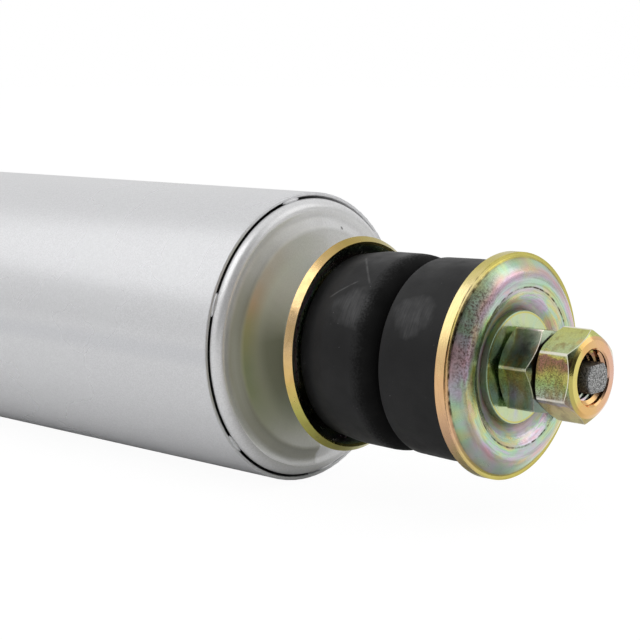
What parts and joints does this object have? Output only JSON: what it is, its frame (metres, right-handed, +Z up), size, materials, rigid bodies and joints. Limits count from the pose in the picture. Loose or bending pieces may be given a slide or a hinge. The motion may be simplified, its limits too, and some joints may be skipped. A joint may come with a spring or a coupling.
{
  "type": "shock absorber",
  "caption": "Telescopic gas shock absorber with a silver dust tube, a threaded stem with cup washers and rubber bushings at one end and a bushed eye at the other.",
  "frame": {"origin": "centre of the lower eye, on the axis of its bolt sleeve", "axes": "+X along the shock's axis from the eye to the stem, +Y along the eye's bolt axis, +Z up as the shock lies in the picture"},
  "size_m": [0.5664, 0.06, 0.06],
  "materials": {
    "silver_paint": "satin metallic paint",
    "yellow_zinc": "yellow chromated zinc plate",
    "rubber": "satin black",
    "hard_chrome": "ground and hard chromed",
    "bare_steel": "oiled",
    "spring_steel": "blued",
    "sintered": "sintered, oiled",
    "aluminium": "turned",
    "bearing": "bronze-backed lining",
    "band_polymer": "bronze-filled polymer"
  },
  "bodies": {
    "cylinder": {"cylinder_tube": "silver_paint", "base_cup": "silver_paint", "base_weld": "silver_paint", "eye_ring": "silver_paint", "eye_bush": "rubber", "guide_snap_ring": "spring_steel", "rod_guide": "sintered", "guide_bush": "bearing", "guide_seal_ring": "rubber", "rod_seal": "rubber", "seal_plate": "bare_steel"},
    "floating": {"floating_piston": "aluminium", "floating_ring": "rubber"},
    "slider": {"piston_band": "band_polymer"},
    "rod": {"piston_rod": "hard_chrome", "rebound_bumper": "rubber", "rebound_stop": "bare_steel", "compression_discs": "spring_steel", "piston": "sintered", "rebound_discs": "spring_steel", "valve_washers": "bare_steel", "piston_nut": "bare_steel", "dust_tube": "silver_paint", "dust_cap": "silver_paint", "cap_weld": "silver_paint", "spot_welds": "silver_paint", "lower_cup_washer": "yellow_zinc", "lower_bushing": "rubber", "upper_bushing": "rubber", "upper_cup_washer": "yellow_zinc", "plain_washer": "yellow_zinc", "main_nut": "yellow_zinc", "lock_nut": "yellow_zinc"},
    "sleeve": {"eye_sleeve": "yellow_zinc"}
  },
  "joints": [
    {"name": "rod_slide", "type": "slide", "parent": "cylinder", "child": "slider", "axis": [1, 0, 0], "range_m": [-0.15, 0], "stiffness_N_per_m": 1170, "springref_m": 0.2265},
    {"name": "rod_spin", "type": "hinge", "parent": "slider", "child": "rod", "pos_m": [0.4765, 0, 0], "axis": [1, 0, 0], "continuous": true},
    {"name": "float_slide", "type": "slide", "parent": "cylinder", "child": "floating", "axis": [1, 0, 0], "range_m": [-0.0125, 0]},
    {"name": "sleeve_twist", "type": "hinge", "parent": "cylinder", "child": "sleeve", "pos_m": [0, 0, 0], "axis": [0, 1, 0], "range_deg": [-15, 15], "stiffness_Nm_per_rad": 40}
  ],
  "couplings": [
    {"joint": "float_slide", "follows": "rod_slide", "ratio": 0.079868}
  ]
}
